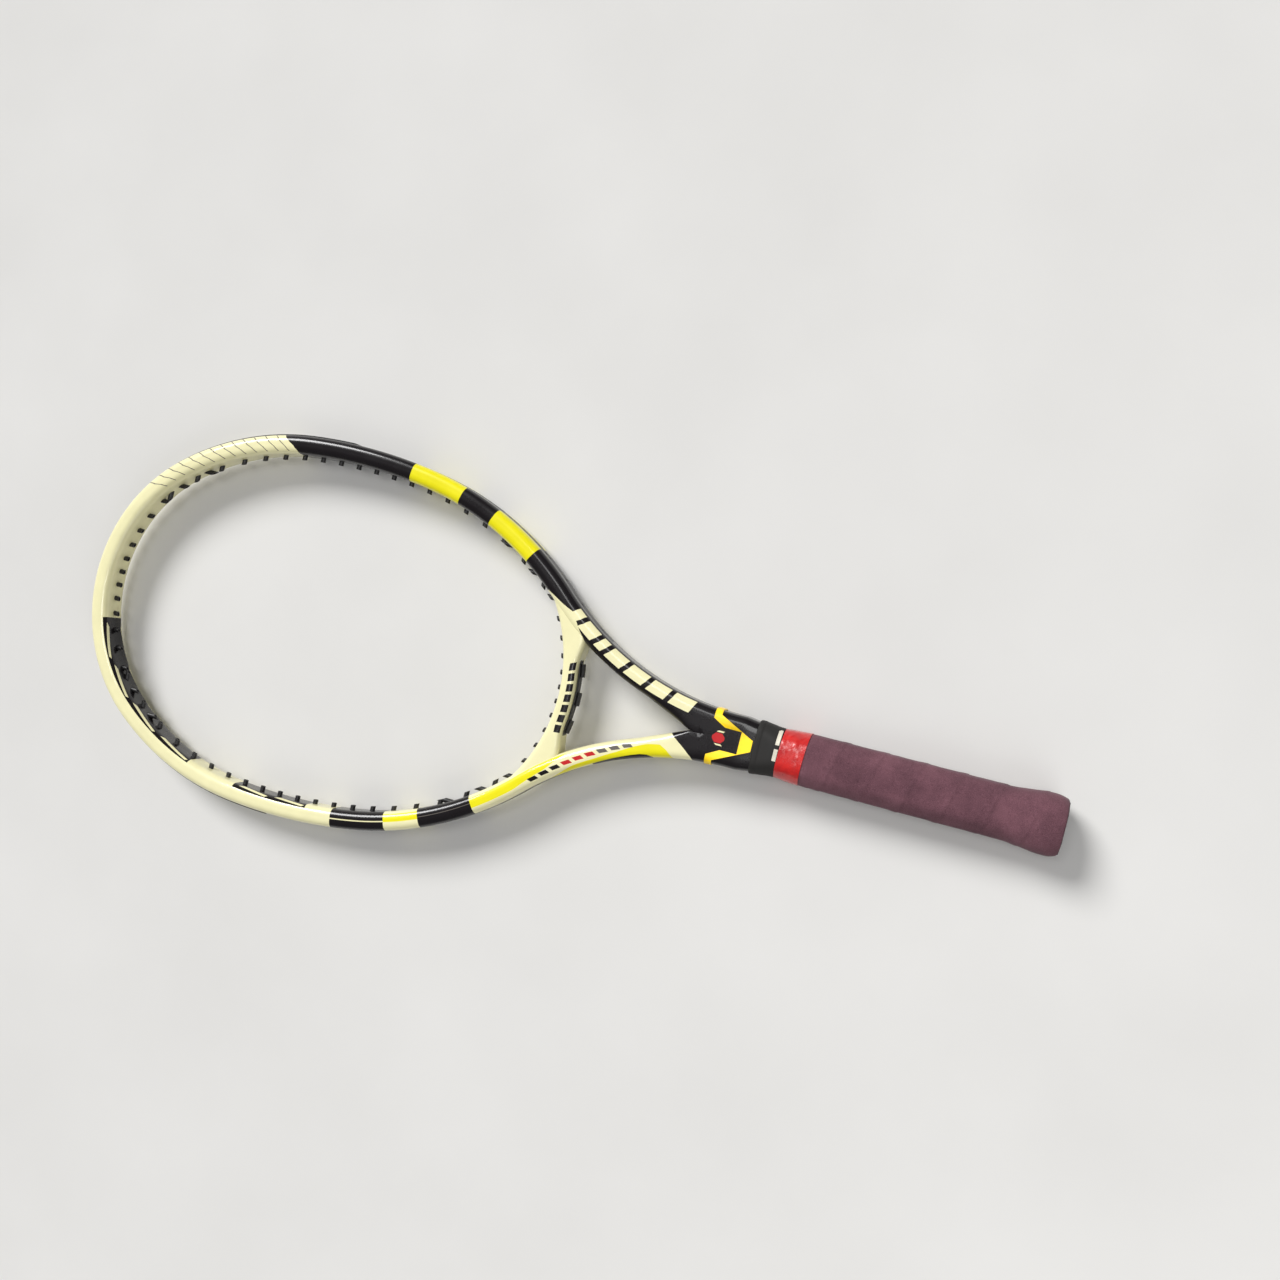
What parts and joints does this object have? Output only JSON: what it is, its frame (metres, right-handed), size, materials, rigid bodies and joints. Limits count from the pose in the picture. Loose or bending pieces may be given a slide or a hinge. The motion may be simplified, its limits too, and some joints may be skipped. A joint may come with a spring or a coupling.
{
  "type": "tennis racket",
  "caption": "Unstrung adult tennis racket: hollow oval head on a forked throat with a curved bridge, and a wrapped eight-sided handle with a flared butt.",
  "frame": {"origin": "centre of the footprint, at the lowest point of the flared butt, with the racket lying flat", "axes": "+X from the butt to the tip of the head, +Y across the string bed, +Z out of the string bed"},
  "size_m": [0.685, 0.264, 0.0362],
  "materials": {
    "frame_lacquer": "gloss lacquer over carbon composite",
    "bridge_lacquer": "gloss lacquer over carbon composite",
    "band_elastomer": "satin yellow elastomer",
    "grommet_nylon": "moulded black nylon",
    "string_pad": "matte black",
    "handle_foam": "skinned foam",
    "cap_plastic": "moulded black",
    "door_plastic": "moulded black",
    "staple_steel": "plated wire",
    "base_grip_skin": "synthetic leather",
    "hidden_tape": "black adhesive tape",
    "overgrip_felt": "soft felted polyurethane",
    "red_tape": "creased glossy tape",
    "collar_rubber": "matte rubber"
  },
  "bodies": {
    "racket": {"frame_hairpin": "frame_lacquer", "throat_bridge": "bridge_lacquer", "damper_band": "band_elastomer", "head_bumper_guard": "grommet_nylon", "grommet_strip_left": "grommet_nylon", "grommet_strip_right": "grommet_nylon", "bridge_grommet_strip": "grommet_nylon", "bridge_string_pads": "string_pad", "handle_foam_front": "handle_foam", "handle_foam_rear": "handle_foam", "butt_cap": "cap_plastic", "butt_cap_staples": "staple_steel", "base_grip": "base_grip_skin", "base_grip_tape": "hidden_tape", "grip_start_tack": "staple_steel", "overgrip": "overgrip_felt", "overgrip_finishing_tape": "red_tape", "rubber_collar": "collar_rubber", "shaft_end_plugs": "handle_foam"},
    "butt_door": {"butt_cap_door": "door_plastic"}
  },
  "joints": [
    {"name": "butt_door_pull", "type": "slide", "parent": "racket", "child": "butt_door", "axis": [-1, 0, 0], "range_m": [0, 0.03]}
  ]
}
